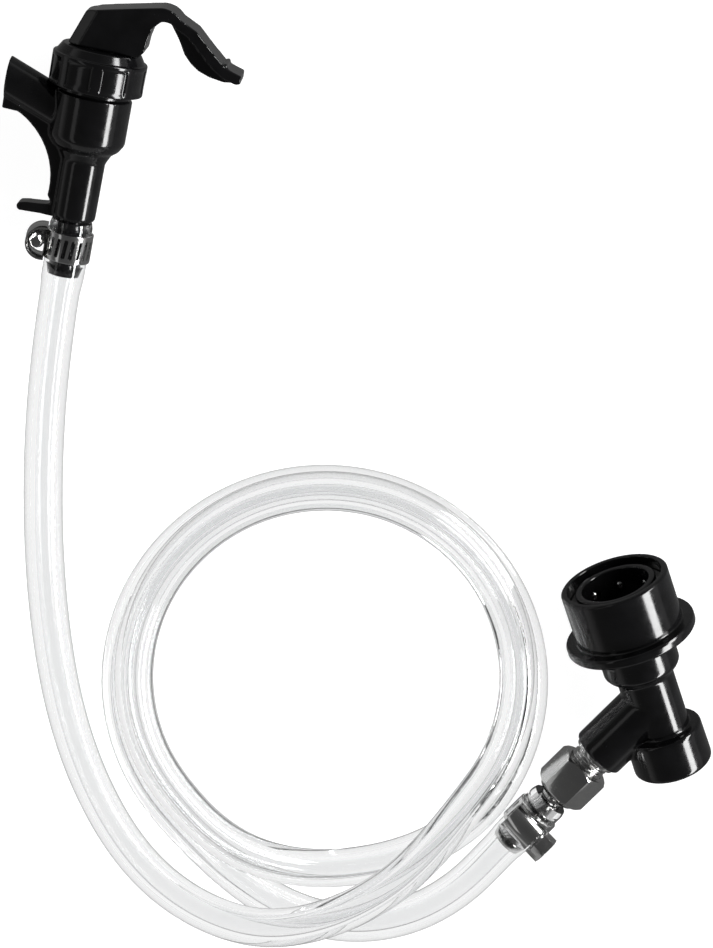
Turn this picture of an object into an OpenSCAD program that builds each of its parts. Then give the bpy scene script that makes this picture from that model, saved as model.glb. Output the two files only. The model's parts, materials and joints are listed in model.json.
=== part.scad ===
// Keg tap line: a thumb-lever picnic tap, a coiled clear hose and a ball-lock
// disconnect joined by a swivel flare fitting, lying flat on a table.
// Millimetres, +Z up, zero level is the table.

/* [Hose] */
// Outside diameter of the hose
hose_od = 11.1; // [10.5:0.1:11.2]
// Outside diameter of a hose end stretched over a barb
cuff_od = 11.9; // [11.6:0.1:12]
// Radius of the lower turn, to the hose's centre
lower_turn_r = 59.3; // [58.8:0.1:59.6]
// Radius of the upper turn, to the hose's centre
upper_turn_r = 55; // [54.5:0.5:55.5]

/* [Tap] */
// Outside diameter of the tap body
tap_body_d = 21.2; // [20:0.2:22]
// Outside diameter of the screw cap over the ribs
bonnet_d = 26; // [25.6:0.2:26]
// Outside diameter of the lower barrel
tap_barrel_d = 12.3; // [12:0.1:13]
// Outside diameter of the pouring spout
spout_d = 11.2; // [10.6:0.2:12]
// Bore of the pouring spout
spout_bore_d = 8; // [7:0.5:8.5]
// Width of the lever
lever_w = 13; // [12:0.5:14]

/* [Disconnect] */
// Outside diameter of the locking sleeve
sleeve_d = 31; // [30.4:0.2:31.4]
// Outside diameter of the sleeve's pull flange
flange_d = 37.4; // [36:0.2:37.4]
// Bore that takes the keg post
socket_d = 19.4; // [19:0.1:19.5]
// Diameter of the body's column
column_d = 16.4; // [15.6:0.2:16.6]
// Outside diameter of the head round the end plug
head_d = 23; // [22.4:0.2:23]
// Outside diameter of the side arm
arm_d = 15.8; // [15:0.2:16]

/* [Fittings] */
// Width across flats of the swivel nut
nut_af = 14.3; // [13.6:0.1:14.4]
// Outside diameter of the flare thread
flare_d = 11.1; // [10.9:0.1:11.1]
// Width of a clamp band
band_w = 8; // [7:0.5:8.5]
// Thickness of a clamp band
band_t = 0.6; // [0.5:0.1:0.7]

/* [Hidden] */
$fn = 64;

// Middle of the tap and disconnect seen from above, in the layout's own zero
layout_mid = [2.7, 11.4, 0.03];

// Where the tap's axis starts (its hose end face), its heading and its rise
tap_at = [-78.8, 74.4, 8.7];
tap_heading = 78.2;
tap_rise = 7;
// Where the disconnect's mouth is, its heading, its rise and its roll
disc_at = [72.1, -26.1, 21.5];
disc_heading = 109;
disc_rise = 9.7;
disc_roll = 3.7;

// Colours
plastic = [0.05, 0.05, 0.055];
steel = [0.72, 0.73, 0.74];
clear = [0.85, 0.88, 0.9, 0.5];
rubber = [0.12, 0.12, 0.12];
nylon = [0.9, 0.9, 0.86];

// Heights along the tap's axis, from the face where the hose ends
barb_len = 16.5;
barb_r = 3.35;
barb_root_r = 2.8;
tap_bore_r = 2.1;
barrel_top = 17.5;
shoulder_top = 22.8;
chamber_floor = 23.5;
chamber_r = 8;
body_top = 35;
neck_r = 9.6;
neck_top = 42;
cap_low = 36.6;
cap_rim = 45.3;
hub_top = 47.9;
hub_r = 11;
stem_r = 2.5;
stem_bore_r = 2.58;
oring_s = 43.6;
rod_top = 49;
eye_low = 48.05;
pin_s = 52.5;
pin_r = 1.5;
eye_r = 3.2;
eye_t = 4.4;
lever_low = 48;

// Spout: where its axis leaves the body, its slope and its outlet plane
spout_s = 26;
spout_rise = 20;
spout_out = 24;
spout_throat_r = 3.4;
spout_throat_from = 5;
spout_bore_from = 12;

// Heights along the disconnect's axis, from the sleeve's mouth (negative inward)
sleeve_len = 18.5;
flange_t = 3;
socket_top = -1.2;
socket_step = -10.9;
socket_floor = -14;
ball_s = -6.7;
ball_r = 1.6;
ball_count = 8;
ball_phase = 85;
neck_low = -28;
head_top = -48.8;
head_end = -61.2;
valve_r = 5.5;
plug_seat = -54.6;
plug_r = 9.32;
plug_bore_r = 9.4;
plug_end = -60.9;
arm_s = -39.5;
arm_angle = 60;

// Lengths along the arm's axis, from the column's axis
arm_len = 23;
stub_ring = 24.2;
nut_from = 27.8;
nut_to = 40.8;
nut_turned = 24;
fit_cuff_from = 43.1;
fit_cuff_to = 64;
fit_barb_to = 62;
fit_clamp_q = 52;
tap_cuff_to = -20;
tap_clamp_s = -8;

// Clamp: band radius, housing centre and worm
band_r = cuff_od / 2 + 0.08;
worm_r = 2;
worm_off = band_r + band_t + 2.22;
housing_r = 4.7;
housing_wall = 0.6;
housing_mid = 7.2;
housing_foot = 6.2;
slot_w = 1.1;
slot_edge = 1.3;
// Housing length, head length and hexagon of each clamp, and how far it's turned
tap_housing = 8.4;
tap_head = [2.4, 5];
tap_clamp_turn = 6;
fit_housing = 10;
fit_head = [4, 7.6];
fit_clamp_turn = 22;

// Hose turns
lower_mid = [-9.2, -61];
upper_mid = [-8.6, -56.4];
lower_z = 5.6;
upper_z = 16.75;
coil_from = -40;
coil_to = 220;
cross_from_z = 236;
cross_to_z = 290;
end_gap = 0.15;
tube_sides = 12;

// Route of the hose from the tap to the upper turn, x y z by hand
TAP_ROUTE = [
  [-82.9, 55, 6.3], [-84.2, 48, 5.8], [-85.9, 37, 5.7], [-87.7, 23, 5.7],
  [-88.9, 8, 5.7], [-89.5, -7, 5.7], [-89.5, -22, 5.7], [-88.8, -37, 5.7],
  [-87.3, -52, 5.7], [-85, -66, 5.7], [-81.5, -80, 5.7], [-76.3, -94, 5.7],
  [-69.5, -107, 5.9], [-61.6, -117, 7], [-53.5, -123.5, 9], [-45.2, -127.8, 11.6],
  [-36, -130.4, 14.6], [-26.5, -131.5, 16.5], [-14.5, -130.2, 17],
  [-1.6, -125.6, 17], [11.5, -117.6, 17], [22.8, -105.9, 16.9]
];
// Route of the hose from the lower turn to the fitting, x y z by hand
END_ROUTE = [
  [-46, -109, 5.6], [-38, -117, 5.6], [-29.5, -124, 5.6], [-20.5, -129.3, 5.6],
  [-11, -132.8, 5.6], [-1, -134.2, 5.6], [8.5, -133.4, 5.6], [17.5, -130.8, 5.6],
  [25.8, -126.4, 5.6], [32.8, -120.8, 5.7], [38, -115.3, 5.8]
];

// ---- Placing ----
module in_layout() { translate(-layout_mid) children(); }
module at_tap() {
  in_layout() translate(tap_at) rotate([tap_rise - 90, 0, tap_heading - 90]) children();
}
module at_disc() {
  in_layout() translate(disc_at) rotate([disc_rise - 90, 0, disc_heading - 90])
    rotate([0, 0, -disc_roll]) children();
}
module at_arm() {
  at_disc() translate([0, 0, arm_s]) rotate([0, -180 + arm_angle, 0]) children();
}
module at_tap_clamp() {
  at_tap() translate([0, 0, tap_clamp_s]) rotate([0, 0, 180 + tap_clamp_turn]) children();
}
module at_fit_clamp() {
  at_arm() translate([0, 0, fit_clamp_q]) rotate([0, 0, fit_clamp_turn - 90]) children();
}

// ---- Shared shapes ----
// Ring of radii r1 to r2 from height z1 to z2
module ring(r1, r2, z1, z2) {
  rotate_extrude() translate([r1, z1]) square([r2 - r1, z2 - z1]);
}
// Points of an arc in the plane
function arc(c, r, a1, a2, n) =
  [for (i = [0:n]) let (a = a1 + (a2 - a1) * i / n) c + r * [cos(a), sin(a)]];
// Ridges of a hose barb, from its tip at height z up
function ridges(z, pitch, count) = [for (i = [0:count - 1]) each
  [[barb_root_r, z + pitch * i], [barb_r, z + pitch * (i + 0.7)],
   [barb_root_r, z + pitch * (i + 0.75)]]];

// Sweep of a round section along points, kept upright
function unit(v) = v / norm(v);
function way(p, i) = unit(p[min(i + 1, len(p) - 1)] - p[max(i - 1, 0)]);
module sweep(p, r, sides) {
  rings = [for (i = [0:len(p) - 1])
    let (t = way(p, i), s = unit(cross(t, [0, 0, 1])), u = cross(s, t))
    for (k = [0:sides - 1]) p[i] + r * (cos(360 * k / sides) * s + sin(360 * k / sides) * u)];
  last = (len(p) - 1) * sides;
  polyhedron(points = rings, convexity = 6, faces = concat(
    [[for (k = [sides - 1:-1:0]) k]], [[for (k = [0:sides - 1]) last + k]],
    [for (i = [0:len(p) - 2]) for (k = [0:sides - 1])
      let (a = i * sides + k, b = i * sides + (k + 1) % sides)
        each [[a, b, b + sides], [a, b + sides, a + sides]]]));
}
// Helical spring from z1 to z2 with closed ends
module spring(mean_r, wire_r, z1, z2, turns) {
  steps = 10 * turns;
  p = [for (i = [0:steps]) let (a = 36 * i)
    [mean_r * cos(a), mean_r * sin(a), z1 + wire_r + (z2 - z1 - 2 * wire_r) * i / steps]];
  color(steel) sweep(p, wire_r, 6);
}

// ---- Tap ----
module tap_shell() {
  rotate_extrude() polygon(concat(
    [[0, -barb_len]], ridges(-barb_len, 3.6, 4),
    [[barb_root_r, -0.8], [tap_barrel_d / 2 - 0.4, -0.1], [tap_barrel_d / 2, 0.3],
     [tap_barrel_d / 2, barrel_top]],
    arc([tap_body_d / 2 - 2.4, shoulder_top], 2.4, -50, 0, 6),
    [[tap_body_d / 2, body_top - 0.4], [tap_body_d / 2 - 0.4, body_top],
     [neck_r, body_top], [neck_r, neck_top], [0, neck_top]]));
}
module spout_place() {
  translate([0, 0, spout_s]) rotate([0, spout_rise - 90, 0]) children();
}
// Web under the spout: one concave sweep from the outlet to the thumb prong
module spout_web() {
  rotate([90, 0, 0]) translate([0, 0, -3.2]) linear_extrude(6.4) polygon(concat(
    [[0, 31], [-spout_out, 31.5], [-spout_out, 27.2]],
    arc([-29, 7.5], 21.4, 62, -4, 14),
    [[-5.5, 2], [0, 2]]));
}
module thumb_prong() {
  rotate([90, 0, 0]) translate([0, 0, -2.8]) linear_extrude(5.6) polygon(concat(
    [[-5, 3.6], [-7.5, 2.6]], arc([-14.4, 0.75], 1.3, 95, 265, 8), [[-9, 0.2], [-5, -0.2]]));
}
module tap_body() {
  color(plastic) at_tap() difference() {
    union() {
      tap_shell();
      intersection() {
        spout_place() cylinder(d = spout_d, h = 40);
        translate([-spout_out, -10, 10]) cube([spout_out, 20, 40]);
      }
      spout_web();
      thumb_prong();
    }
    translate([0, 0, -barb_len - 1]) cylinder(r = tap_bore_r, h = barb_len + 40);
    translate([0, 0, chamber_floor]) cylinder(r = chamber_r, h = 30);
    spout_place() {
      translate([0, 0, spout_throat_from]) cylinder(r = spout_throat_r, h = 10);
      translate([0, 0, spout_bore_from]) cylinder(d = spout_bore_d, h = 30);
    }
  }
}
// Screw cap with eight wide flutes, a stepped top and the stem's bore
module bonnet_cap() {
  color(plastic) at_tap() difference() {
    rotate_extrude() polygon([[stem_bore_r, cap_low], [bonnet_d / 2 - 0.4, cap_low],
      [bonnet_d / 2, cap_low + 0.4], [bonnet_d / 2, cap_rim - 0.7], [bonnet_d / 2 - 0.7, cap_rim],
      [hub_r - 0.2, hub_top - 0.3], [hub_r - 0.6, hub_top], [stem_bore_r, hub_top]]);
    translate([0, 0, cap_low - 1]) cylinder(r = neck_r + 0.1, h = neck_top + 0.4 - cap_low + 1);
    for (i = [0:7]) rotate([0, 0, i * 45 + 6]) rotate_extrude(angle = 34)
      translate([bonnet_d / 2 - 0.55, cap_low - 1]) square([2, cap_rim - 0.8 - cap_low]);
  }
}
module bonnet_gasket() {
  color(rubber) at_tap() ring(chamber_r, neck_r - 0.1, neck_top + 0.02, neck_top + 0.38);
}
// Rubber cup on the stem's foot, over the inlet
module seat_seal() {
  color(rubber) at_tap() rotate_extrude() polygon([[0, chamber_floor + 0.05], [3.2, chamber_floor + 0.05],
    [4.5, chamber_floor + 1.2], [4.5, 28.4], [1.9, 28.4], [1.9, 27.12], [2.8, 27.12], [2.8, 25], [0, 25]]);
}
module spring_washer() { color(steel) at_tap() ring(2.7, 6.2, 28.45, 29.05); }
module valve_spring() { at_tap() spring(5.2, 0.45, 29.1, 42.35, 6); }
// Stem: foot, neck, rod and a flat eye for the lever's pin
module valve_stem() {
  color(plastic) at_tap() difference() {
    union() {
      rotate_extrude() polygon([[0, 25.1], [2.7, 25.1], [2.7, 27], [1.8, 27], [1.8, 28.7],
        [stem_r, 29.2], [stem_r, oring_s - 0.6], [1.6, oring_s - 0.6], [1.6, oring_s + 0.6],
        [stem_r, oring_s + 0.6], [stem_r, rod_top], [0, rod_top]]);
      translate([0, eye_t / 2, pin_s]) rotate([90, 0, 0]) cylinder(r = eye_r, h = eye_t);
      translate([-2.2, -eye_t / 2, eye_low]) cube([4.4, eye_t, pin_s - eye_low]);
    }
    translate([0, 10, pin_s]) rotate([90, 0, 0]) cylinder(r = pin_r + 0.02, h = 20);
  }
}
module stem_oring() {
  color(rubber) at_tap() rotate_extrude() translate([2.07, oring_s]) circle(r = 0.43);
}
module lever_pin() {
  color(steel) at_tap() translate([0, lever_w / 2 - 0.4, pin_s]) rotate([90, 0, 0])
    cylinder(r = pin_r, h = 11.4);
}
// Side outline of the lever: skirted base, crest, drooping handle with a squared tip
LEVER_OUTLINE = concat(
  [[-9, lever_low + 0.4], [-8.6, lever_low], [9.6, lever_low], [11.3, lever_low + 1.4], [12, 55]],
  arc([15.2, 55.2], 3.1, 170, 38, 8),
  [[19.6, 54], [22.2, 51.9], [25.4, 49.9], [29.5, 48], [34.5, 46.2], [38.3, 45.6], [38.9, 49]],
  [[34.6, 50.6], [33.9, 50.7], [28.4, 55.6]],
  arc([14, 56.2], 6.6, 34, 88, 8),
  [[-4.4, 58.4], [-5.4, 57.7]]);
module tap_lever() {
  color(plastic) at_tap() difference() {
    rotate([90, 0, 0]) translate([0, 0, -lever_w / 2]) linear_extrude(lever_w) polygon(LEVER_OUTLINE);
    translate([-5.5, -eye_t / 2 - 0.4, lever_low - 1]) cube([11, eye_t + 0.8, 9.6]);
    translate([0, lever_w / 2 + 1, pin_s]) rotate([90, 0, 0]) cylinder(r = pin_r + 0.05, h = 13);
  }
}

// ---- Clamps: hose axis along Z, housing on +X, screw head towards -Y ----
module clamp_band() {
  color(steel) difference() {
    ring(band_r, band_r + band_t, -band_w / 2, band_w / 2);
    for (i = [0:15]) rotate([0, 0, 48 + i * 264 / 15])
      translate([band_r - 0.5, -slot_w / 2, slot_edge - band_w / 2])
        cube([2, slot_w, band_w - 2 * slot_edge]);
  }
}
// Half-round shell over the worm, open at both ends
module clamp_housing(len) {
  inner = housing_r - housing_wall;
  color(steel) translate([0, len / 2, 0]) rotate([90, 0, 0]) linear_extrude(len) difference() {
    union() {
      translate([housing_mid, 0]) circle(r = housing_r);
      translate([housing_foot, -housing_r]) square([housing_mid - housing_foot, 2 * housing_r]);
    }
    translate([housing_mid, 0]) circle(r = inner);
    translate([housing_foot - 1, -inner]) square([housing_mid - housing_foot + 1, 2 * inner]);
    translate([0, -6]) square([housing_foot, 12]);
  }
}
// Worm, collar and slotted hexagon head; head = [length, width across flats]
module clamp_screw(len, head) {
  threads = floor((len - 0.6) / 1.2);
  root = worm_r - 0.45;
  color(steel) translate([worm_off, len / 2, 0]) rotate([90, 0, 0]) difference() {
    union() {
      rotate_extrude() polygon(concat([[0, 0.3]],
        [for (i = [0:threads - 1]) each [[root, 0.3 + i * 1.2], [worm_r, 0.6 + i * 1.2],
          [worm_r, 0.9 + i * 1.2], [root, 1.2 + i * 1.2]]],
        [[root, len + 0.25], [head.y / 2 + 0.5, len + 0.3], [head.y / 2 + 0.5, len + 1], [0, len + 1]]));
      translate([0, 0, len + 0.9]) cylinder(d = head.y / cos(30), h = head.x, $fn = 6);
    }
    translate([-6, -0.5, len + head.x - 0.3]) cube([12, 1, 3]);
  }
}
module tap_clamp_band() { at_tap_clamp() clamp_band(); }
module tap_clamp_housing() { at_tap_clamp() clamp_housing(tap_housing); }
module tap_clamp_screw() { at_tap_clamp() clamp_screw(tap_housing, tap_head); }
module fitting_clamp_band() { at_fit_clamp() clamp_band(); }
module fitting_clamp_housing() { at_fit_clamp() clamp_housing(fit_housing); }
module fitting_clamp_screw() { at_fit_clamp() clamp_screw(fit_housing, fit_head); }

// ---- Hose ----
function turn_point(mid, a, r, z) = [mid.x + r * cos(a), mid.y + r * sin(a), z];
function ease(t) = let (c = min(max(t, 0), 1)) c * c * (3 - 2 * c);
function mix(a, b, t) = a + (b - a) * t;
// Point of the run that carries the upper turn over into the lower one
function cross_point(a) = let (t = (a - coil_to) / (360 + coil_from - coil_to)) turn_point(
  mix(upper_mid, lower_mid, t), a, mix(upper_turn_r, lower_turn_r, t),
  mix(upper_z, lower_z, ease((a - cross_from_z) / (cross_to_z - cross_from_z))));
// The tangent at a turn's end face, so a run leaves it square
function leave(mid, a, r, z, d) = turn_point(mid, a, r, z) + d * [-sin(a), cos(a), 0];

module hose_tap_cuff() {
  color(clear) at_tap() ring(barb_r + 0.08, cuff_od / 2, tap_cuff_to, -0.9);
}
module hose_tap_run() {
  color(clear) in_layout() sweep(concat(TAP_ROUTE,
    [leave(upper_mid, coil_from, upper_turn_r, upper_z, -end_gap)]), hose_od / 2, tube_sides);
}
// One turn of the coil, as a round arc
module turn(mid, r, z) {
  translate([mid.x, mid.y, 0]) rotate([0, 0, coil_from])
    rotate_extrude(angle = coil_to - coil_from, $fn = 96) translate([r, z]) circle(d = hose_od, $fn = 32);
}
module hose_coil() {
  color(clear) in_layout() {
    turn(lower_mid, lower_turn_r, lower_z);
    turn(upper_mid, upper_turn_r, upper_z);
  }
}
module hose_cross_run() {
  steps = 9;
  first = coil_to + end_gap / upper_turn_r * 60;
  last = 360 + coil_from - end_gap / lower_turn_r * 60;
  color(clear) in_layout() sweep([for (i = [0:steps]) cross_point(first + (last - first) * i / steps)],
    hose_od / 2, tube_sides);
}
module hose_end_run() {
  start = leave(lower_mid, coil_to, lower_turn_r, lower_z, end_gap);
  color(clear) in_layout() sweep(concat([start], END_ROUTE, [fit_end]), hose_od / 2, tube_sides);
}
module hose_fitting_cuff() {
  color(clear) at_arm() ring(barb_r + 0.08, cuff_od / 2, fit_cuff_from, fit_cuff_to);
}
// Centre of the cuff's end face, in the layout
fit_end = [42.6, -110.2, 5.95];

// ---- Swivel fitting, along the arm ----
module barb_tail() {
  color(steel) at_arm() difference() {
    rotate_extrude() polygon(concat([[0, 34.75], [5.2, 34.75], [5.2, 36.1], [3.8, 36.1], [3.8, 42.6],
      [3.4, 43], [barb_root_r, 43.4]],
      [for (i = [0:4]) let (q = 46 + i * 3.2) each [[barb_root_r, q], [barb_r, q + 0.1],
        [barb_root_r + 0.1, q + 2.6]]],
      [[barb_root_r - 0.2, fit_barb_to], [0, fit_barb_to]]));
    translate([0, 0, 30]) cylinder(r = tap_bore_r, h = 40);
  }
}
// Hex nut with bevelled corners and a collar
module swivel_nut() {
  color(steel) at_arm() difference() {
    intersection() {
      translate([0, 0, nut_from]) rotate([0, 0, nut_turned])
        cylinder(d = nut_af / cos(30), h = nut_to - nut_from, $fn = 6);
      rotate_extrude() polygon([[0, nut_from], [nut_af / 2 - 0.3, nut_from],
        [nut_af / 2 + 1.3, nut_from + 1.2], [nut_af / 2 + 1.3, nut_to - 2.4],
        [nut_af / 2 - 1.4, nut_to], [0, nut_to]]);
    }
    translate([0, 0, nut_from - 1]) cylinder(d = flare_d + 0.15, h = 9.4);
    translate([0, 0, nut_from]) cylinder(r = 3.88, h = 20);
  }
}
module flare_washer() {
  color(nylon) at_arm() rotate_extrude()
    polygon([[2.3, 33.2], [3.2, 33.2], [5, 34.1], [5, 34.7], [2.3, 34.7]]);
}
// Threaded stub screwed into the arm, with a collar and a flare seat
module flare_stub() {
  threads = 6;
  pitch = 1.2;
  color(steel) at_arm() difference() {
    rotate_extrude() polygon(concat(
      [[0, arm_len - 8], [5.4, arm_len - 8], [5.4, arm_len + 0.05], [6.6, arm_len + 0.05],
       [6.6, stub_ring], [5, stub_ring + 0.2]],
      [for (i = [0:threads - 1]) let (q = 24.6 + pitch * i) each [[5, q], [flare_d / 2, q + 0.5],
        [flare_d / 2, q + 0.7], [5, q + 1.1]]],
      [[4.8, 32], [3, 33.1], [0, 33.1]]));
    translate([0, 0, 10]) cylinder(r = 2.3, h = 30);
  }
}

// ---- Disconnect ----
module disconnect_body() {
  color(plastic) difference() {
    union() {
      at_disc() rotate_extrude() polygon(concat(
        [[0, socket_top], [socket_d / 2 + 1.4, socket_top], [11.6, socket_top - 0.5], [11.6, -3.5],
         [10.9, -3.5], [10.9, -4.9], [11.6, -4.9], [11.6, -15.2], [13.4, -15.2], [13.4, -17.2],
         [11.1, -17.4], [11.1, neck_low]],
        [[10.3, neck_low - 1.2], [column_d / 2, neck_low - 2.6], [column_d / 2, head_top],
         [head_d / 2 - 0.6, head_top], [head_d / 2, head_top - 0.6], [head_d / 2, head_end + 1],
         [head_d / 2 - 1, head_end], [0, head_end]]));
      at_arm() cylinder(d = arm_d, h = arm_len);
    }
    at_disc() {
      translate([0, 0, socket_step]) cylinder(d = socket_d, h = 20);
      translate([0, 0, socket_floor]) cylinder(r = 8, h = 20);
      translate([0, 0, plug_seat]) cylinder(r = 3.2, h = 44);
      translate([0, 0, plug_seat]) cylinder(r = valve_r, h = 37.2);
      translate([0, 0, plug_seat - 20]) cylinder(r = plug_bore_r, h = 20);
      for (i = [0:ball_count - 1]) rotate([0, 0, i * 360 / ball_count + ball_phase])
        translate([8, 0, ball_s]) rotate([0, 90, 0]) cylinder(r = ball_r + 0.04, h = 6);
    }
    at_arm() {
      translate([0, 0, 4]) cylinder(r = 2.5, h = 30);
      translate([0, 0, arm_len - 8.1]) cylinder(r = 5.5, h = 20);
    }
  }
}
// Sliding collar: land that holds the balls, relief that frees them, pull flange
module locking_sleeve() {
  flange_top = flange_t - sleeve_len;
  color(plastic) at_disc() rotate_extrude() polygon([[13.7, 0], [sleeve_d / 2 - 0.5, 0],
    [sleeve_d / 2, -0.5], [sleeve_d / 2, flange_top], [flange_d / 2 - 0.8, flange_top],
    [flange_d / 2, flange_top - 0.8], [flange_d / 2, 0.8 - sleeve_len],
    [flange_d / 2 - 0.8, -sleeve_len], [13.7, -sleeve_len],
    [13.7, -8.5], [13, -8.5], [13, -5.1], [13.7, -4.9]]);
}
module sleeve_spring() { at_disc() spring(12.6, 0.4, -15.1, -8.6, 3); }
module retaining_ring() {
  color(steel) at_disc() difference() {
    ring(10.95, 13.4, -4.8, -3.6);
    translate([0, 0, -6]) rotate([0, 0, 60]) translate([10, -1, 0]) cube([6, 2, 4]);
  }
}
module locking_balls() {
  color(steel) at_disc() for (i = [0:ball_count - 1]) rotate([0, 0, i * 360 / ball_count + ball_phase])
    translate([socket_d / 2 + 0.04 + ball_r, 0, ball_s]) sphere(r = ball_r);
}
module post_seal() { color(rubber) at_disc() ring(4, 7.6, socket_floor + 0.05, socket_floor + 1.8); }
// Poppet: a pin that the keg post pushes, and a cone that closes the throat
module poppet() {
  color(plastic) at_disc() rotate_extrude() polygon([[0, -11.2], [1.3, -11.2], [1.7, -11.6],
    [1.7, -17.2], [2.9, -17.5], [2.9, -18.55], [4.4, -18.6],
    [4.4, -22], [2.2, -22], [2.2, -27], [0, -27]]);
}
module poppet_oring() {
  color(rubber) at_disc() rotate_extrude() translate([3.48, -18]) circle(r = 0.52);
}
module poppet_spring() { at_disc() spring(3.3, 0.4, plug_seat - 0.35, -22.1, 10); }
// Screwed end plug with a coin slot
module end_plug() {
  color(plastic) at_disc() difference() {
    rotate_extrude() polygon([[0, plug_seat - 0.4], [plug_r, plug_seat - 0.4], [plug_r, plug_end + 0.5],
      [plug_r - 0.5, plug_end], [0, plug_end]]);
    translate([-7, -0.8, plug_end - 1]) cube([14, 1.6, 2.4]);
  }
}
module end_plug_gasket() {
  color(rubber) at_disc() ring(5.6, 9.2, plug_seat - 0.35, plug_seat - 0.05);
}

tap_body();
bonnet_cap();
bonnet_gasket();
seat_seal();
spring_washer();
valve_spring();
valve_stem();
stem_oring();
lever_pin();
tap_lever();
tap_clamp_band();
tap_clamp_housing();
tap_clamp_screw();
hose_tap_cuff();
hose_tap_run();
hose_coil();
hose_cross_run();
hose_end_run();
hose_fitting_cuff();
fitting_clamp_band();
fitting_clamp_housing();
fitting_clamp_screw();
barb_tail();
swivel_nut();
flare_washer();
flare_stub();
disconnect_body();
locking_sleeve();
sleeve_spring();
retaining_ring();
locking_balls();
post_seal();
poppet();
poppet_oring();
poppet_spring();
end_plug();
end_plug_gasket();
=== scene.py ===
"""Looks of the keg tap line: picnic tap, clear hose and ball-lock disconnect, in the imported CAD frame."""
import json
import bmesh
import bpy
import numpy as np
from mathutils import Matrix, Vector
from math import atan2, ceil, cos, degrees, pi, radians, sin, sqrt, tan


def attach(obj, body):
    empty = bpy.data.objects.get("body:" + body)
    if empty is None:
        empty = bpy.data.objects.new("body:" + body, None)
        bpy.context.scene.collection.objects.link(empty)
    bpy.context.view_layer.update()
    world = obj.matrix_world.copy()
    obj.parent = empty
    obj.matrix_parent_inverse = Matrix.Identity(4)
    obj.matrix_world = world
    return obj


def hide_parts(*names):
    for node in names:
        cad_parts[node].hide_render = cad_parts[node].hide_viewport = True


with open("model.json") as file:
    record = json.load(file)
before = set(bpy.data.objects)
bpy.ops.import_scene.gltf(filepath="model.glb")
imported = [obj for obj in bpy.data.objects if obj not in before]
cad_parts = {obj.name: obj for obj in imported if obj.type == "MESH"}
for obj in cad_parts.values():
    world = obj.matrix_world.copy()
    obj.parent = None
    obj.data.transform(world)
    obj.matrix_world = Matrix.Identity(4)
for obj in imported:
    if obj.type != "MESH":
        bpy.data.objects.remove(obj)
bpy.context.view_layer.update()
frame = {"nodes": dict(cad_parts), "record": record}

# ---- Places, in millimetres in the layout that part.scad uses ----
MM = 0.001
LAYOUT_MID = np.array([2.7, 11.4, 0.03])


def turn_x(a):
    """Rotation matrix about X, in degrees; turn_y and turn_z likewise."""
    c, s = cos(radians(a)), sin(radians(a))
    return np.array([[1, 0, 0], [0, c, -s], [0, s, c]])


def turn_y(a):
    c, s = cos(radians(a)), sin(radians(a))
    return np.array([[c, 0, s], [0, 1, 0], [-s, 0, c]])


def turn_z(a):
    c, s = cos(radians(a)), sin(radians(a))
    return np.array([[c, -s, 0], [s, c, 0], [0, 0, 1]])


class Place:
    """A local frame: its turn and its origin, in the layout."""

    def __init__(self, turn, at):
        self.turn = turn
        self.at = np.array(at, float)

    def moved(self, offset=(0, 0, 0), turn=np.eye(3)):
        return Place(self.turn @ turn, self.point(offset))

    def point(self, p):
        """A local point in the layout."""
        return self.at + self.turn @ np.array(p, float)

    def metres(self, points):
        """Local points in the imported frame, in metres."""
        return ((np.array(points, float) @ self.turn.T) + self.at - LAYOUT_MID) * MM


LAYOUT = Place(np.eye(3), (0, 0, 0))
TAP = Place(turn_z(78.2 - 90) @ turn_x(7 - 90), (-78.8, 74.4, 8.7))
DISC = Place(turn_z(109 - 90) @ turn_x(9.7 - 90) @ turn_z(-3.7), (72.1, -26.1, 21.5))
ARM = DISC.moved((0, 0, -39.5), turn_y(-120))
TAP_CLAMP = TAP.moved((0, 0, -8), turn_z(180 + 6))
FIT_CLAMP = ARM.moved((0, 0, 52), turn_z(22 - 90))

# ---- Camera: above the table, tilted towards the tap ----
CAMERA_TILT = 11
CAMERA_FAR = 700
LENS = 92.57
camera = bpy.data.objects.new("camera", bpy.data.cameras.new("camera"))
bpy.context.scene.collection.objects.link(camera)
camera.data.lens = LENS
camera.data.sensor_width = 36
camera.data.clip_start = 0.01
camera.data.clip_end = 20
camera.rotation_euler = (-radians(CAMERA_TILT), 0, 0)
camera_at = (0, CAMERA_FAR * sin(radians(CAMERA_TILT)), CAMERA_FAR * cos(radians(CAMERA_TILT)))
camera.location = LAYOUT.metres([camera_at])[0]
bpy.context.scene.camera = camera


# ---- Materials ----
def new_material(name, **values):
    """A Principled material; values are set on its own sockets. Returns material, node tree, shader."""
    m = bpy.data.materials.new(name)
    m.use_nodes = True
    shader = m.node_tree.nodes["Principled BSDF"]
    for key, value in values.items():
        shader.inputs[key.replace("_", " ")].default_value = value
    return m, m.node_tree, shader


def object_coords(tree, scale=(1, 1, 1)):
    coords = tree.nodes.new("ShaderNodeTexCoord")
    mapping = tree.nodes.new("ShaderNodeMapping")
    mapping.inputs["Scale"].default_value = scale
    tree.links.new(coords.outputs["Object"], mapping.inputs["Vector"])
    return mapping.outputs["Vector"]


def noise(tree, scale, detail=4, stretch=(1, 1, 1)):
    n = tree.nodes.new("ShaderNodeTexNoise")
    n.inputs["Scale"].default_value = scale
    n.inputs["Detail"].default_value = detail
    tree.links.new(object_coords(tree, stretch), n.inputs["Vector"])
    return n.outputs["Fac"]


def spread(tree, value, low, high, from_low=0.3, from_high=0.7):
    """value, from about from_low to from_high, taken to low to high."""
    r = tree.nodes.new("ShaderNodeMapRange")
    r.inputs["From Min"].default_value = from_low
    r.inputs["From Max"].default_value = from_high
    r.inputs["To Min"].default_value = low
    r.inputs["To Max"].default_value = high
    tree.links.new(value, r.inputs["Value"])
    return r.outputs["Result"]


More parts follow.
